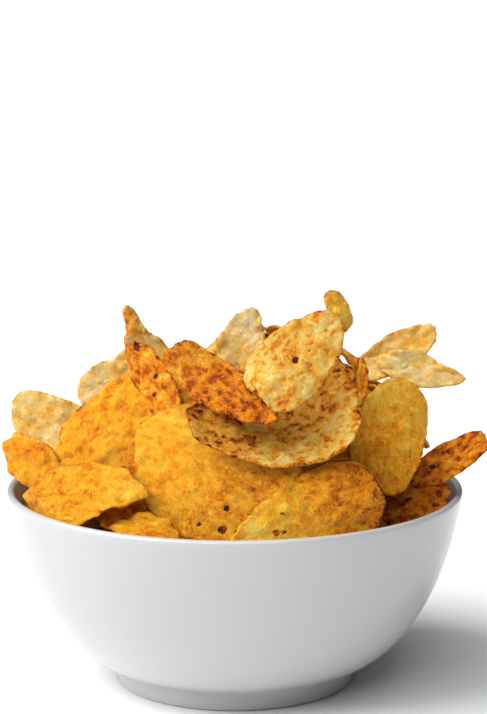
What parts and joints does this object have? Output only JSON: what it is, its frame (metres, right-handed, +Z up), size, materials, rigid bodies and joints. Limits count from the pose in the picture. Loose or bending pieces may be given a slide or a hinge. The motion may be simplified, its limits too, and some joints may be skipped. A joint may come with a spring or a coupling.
{
  "type": "bowl of potato crisps",
  "caption": "Round footed porcelain bowl heaped with curved fried potato crisps that rise well above its rim.",
  "frame": {"origin": "middle of the whole's box in X and Y, on the surface that the foot stands on; the bowl's own axis is 4 mm to the -X side of it because the heap hangs further over the rim on the +X side", "axes": "+Z up, -Y is the side that the picture shows"},
  "size_m": [0.1788, 0.17, 0.153],
  "materials": {
    "porcelain": "gloss white glaze",
    "crisp": "fried potato, satin with a little oil"
  },
  "bodies": {
    "root": {"bowl": "porcelain", "crisps": "crisp"}
  },
  "joints": []
}
